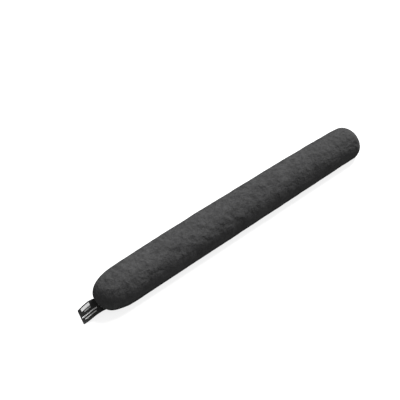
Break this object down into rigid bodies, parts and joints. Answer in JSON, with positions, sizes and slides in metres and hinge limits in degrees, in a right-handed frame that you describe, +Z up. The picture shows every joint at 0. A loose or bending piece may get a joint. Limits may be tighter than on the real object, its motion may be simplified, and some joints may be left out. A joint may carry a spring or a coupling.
{
  "type": "keyboard wrist rest",
  "caption": "Long soft wrist rest: a bead-filled tube of brushed fabric with a flat base, rounded ends and a folded woven label at one end.",
  "frame": {"origin": "centre of the flat base, on the desk", "axes": "+X along the rest to its plain end, +Y away from the user to the keyboard, +Z up"},
  "size_m": [0.4206, 0.0478, 0.0388],
  "materials": {
    "cover_knit": "brushed knit, charcoal black",
    "base_knit": "plain knit, black",
    "sewing_thread": "spun polyester thread, black",
    "liner_cloth": "plain woven, off-white",
    "liner_thread": "thread, off-white",
    "beads": "small smooth beads, translucent white",
    "label_satin": "black satin weave with a light woven pattern"
  },
  "bodies": {
    "cushion": {"top_cover": "cover_knit", "base_cover": "base_knit", "cover_needle_thread": "sewing_thread", "cover_bobbin_thread": "sewing_thread", "closing_stitches": "sewing_thread", "liner_top": "liner_cloth", "liner_base": "liner_cloth", "liner_thread": "liner_thread", "bead_fill": "beads", "label_tail": "label_satin"},
    "label": {"label": "label_satin"}
  },
  "joints": [
    {"name": "label_lift", "type": "hinge", "parent": "cushion", "child": "label", "pos_m": [-0.2005, 0.0006, 0.008], "axis": [0.1564, 0.9877, 0], "range_deg": [0, 110]}
  ]
}
